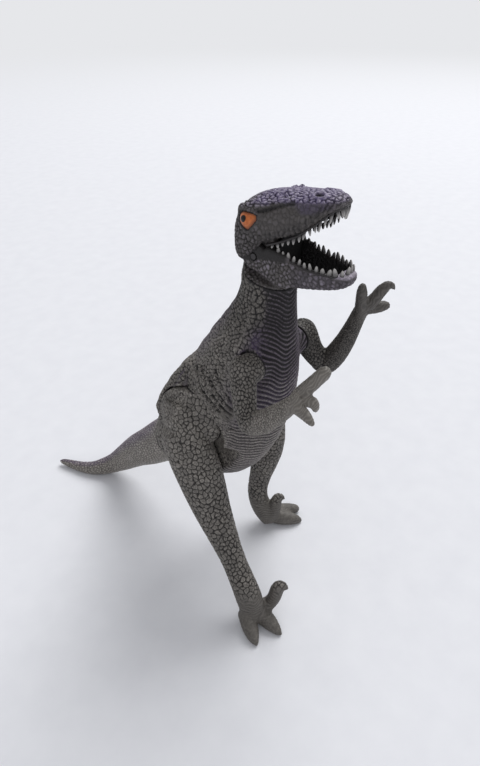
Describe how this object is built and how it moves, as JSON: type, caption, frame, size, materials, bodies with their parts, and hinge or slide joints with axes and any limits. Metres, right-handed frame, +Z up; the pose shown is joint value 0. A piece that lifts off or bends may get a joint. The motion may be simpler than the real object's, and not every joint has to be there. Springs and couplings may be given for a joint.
{
  "type": "toy dinosaur figure",
  "caption": "Upright toy raptor in soft vinyl: hollow trunk, swivel neck, arms, legs and tail, and a hinged, toothed lower jaw. It stands on both feet and the tail.",
  "frame": {"origin": "on the floor, at the middle of the figure's footprint", "axes": "+Z up, the head faces -Y, the figure's left side is +X"},
  "size_m": [0.0856, 0.1874, 0.2018],
  "materials": {
    "vinyl_skin": "satin, dark wash in the grooves",
    "joint_plastic": "as moulded",
    "steel_pin": "plain wire",
    "mouth_lining": "matt black",
    "teeth": "painted off-white",
    "eyes": "clear gloss over paint"
  },
  "bodies": {
    "torso": {"torso_shell": "vinyl_skin"},
    "head": {"head_shell": "vinyl_skin", "neck_plug": "joint_plastic", "mouth_liner": "mouth_lining", "upper_teeth": "teeth", "jaw_pin": "steel_pin", "eye_left": "eyes", "eye_right": "eyes"},
    "jaw": {"lower_jaw": "vinyl_skin", "lower_teeth": "teeth"},
    "right_arm": {"right_arm": "vinyl_skin", "right_shoulder_plug": "joint_plastic"},
    "left_arm": {"left_arm": "vinyl_skin", "left_shoulder_plug": "joint_plastic"},
    "right_leg": {"right_leg": "vinyl_skin", "right_hip_plug": "joint_plastic"},
    "left_leg": {"left_leg": "vinyl_skin", "left_hip_plug": "joint_plastic"},
    "tail": {"tail_shell": "vinyl_skin", "tail_plug": "joint_plastic"}
  },
  "joints": [
    {"name": "neck_swivel", "type": "hinge", "parent": "torso", "child": "head", "pos_m": [-0.0019, -0.05446, 0.1662], "axis": [0, -0.2823, 0.9593], "range_deg": [-35, 35]},
    {"name": "jaw_hinge", "type": "hinge", "parent": "head", "child": "jaw", "pos_m": [-0.0019, -0.05346, 0.1755], "axis": [1, 0, 0], "range_deg": [-13, 3]},
    {"name": "right_shoulder_swivel", "type": "hinge", "parent": "torso", "child": "right_arm", "pos_m": [-0.0152, -0.05746, 0.132], "axis": [1, 0, 0], "range_deg": [-45, 10]},
    {"name": "left_shoulder_swivel", "type": "hinge", "parent": "torso", "child": "left_arm", "pos_m": [0.0138, -0.05746, 0.132], "axis": [1, 0, 0], "range_deg": [-45, 30]},
    {"name": "right_hip_swivel", "type": "hinge", "parent": "torso", "child": "right_leg", "pos_m": [-0.0143, -0.02596, 0.09], "axis": [1, 0, 0], "range_deg": [-20, 20]},
    {"name": "left_hip_swivel", "type": "hinge", "parent": "torso", "child": "left_leg", "pos_m": [0.0129, -0.02596, 0.09], "axis": [1, 0, 0], "range_deg": [-20, 20]},
    {"name": "tail_swivel", "type": "hinge", "parent": "torso", "child": "tail", "pos_m": [-0.0017, 0.00504, 0.057], "axis": [0, 0.7771, -0.6293], "range_deg": [-30, 30]}
  ]
}
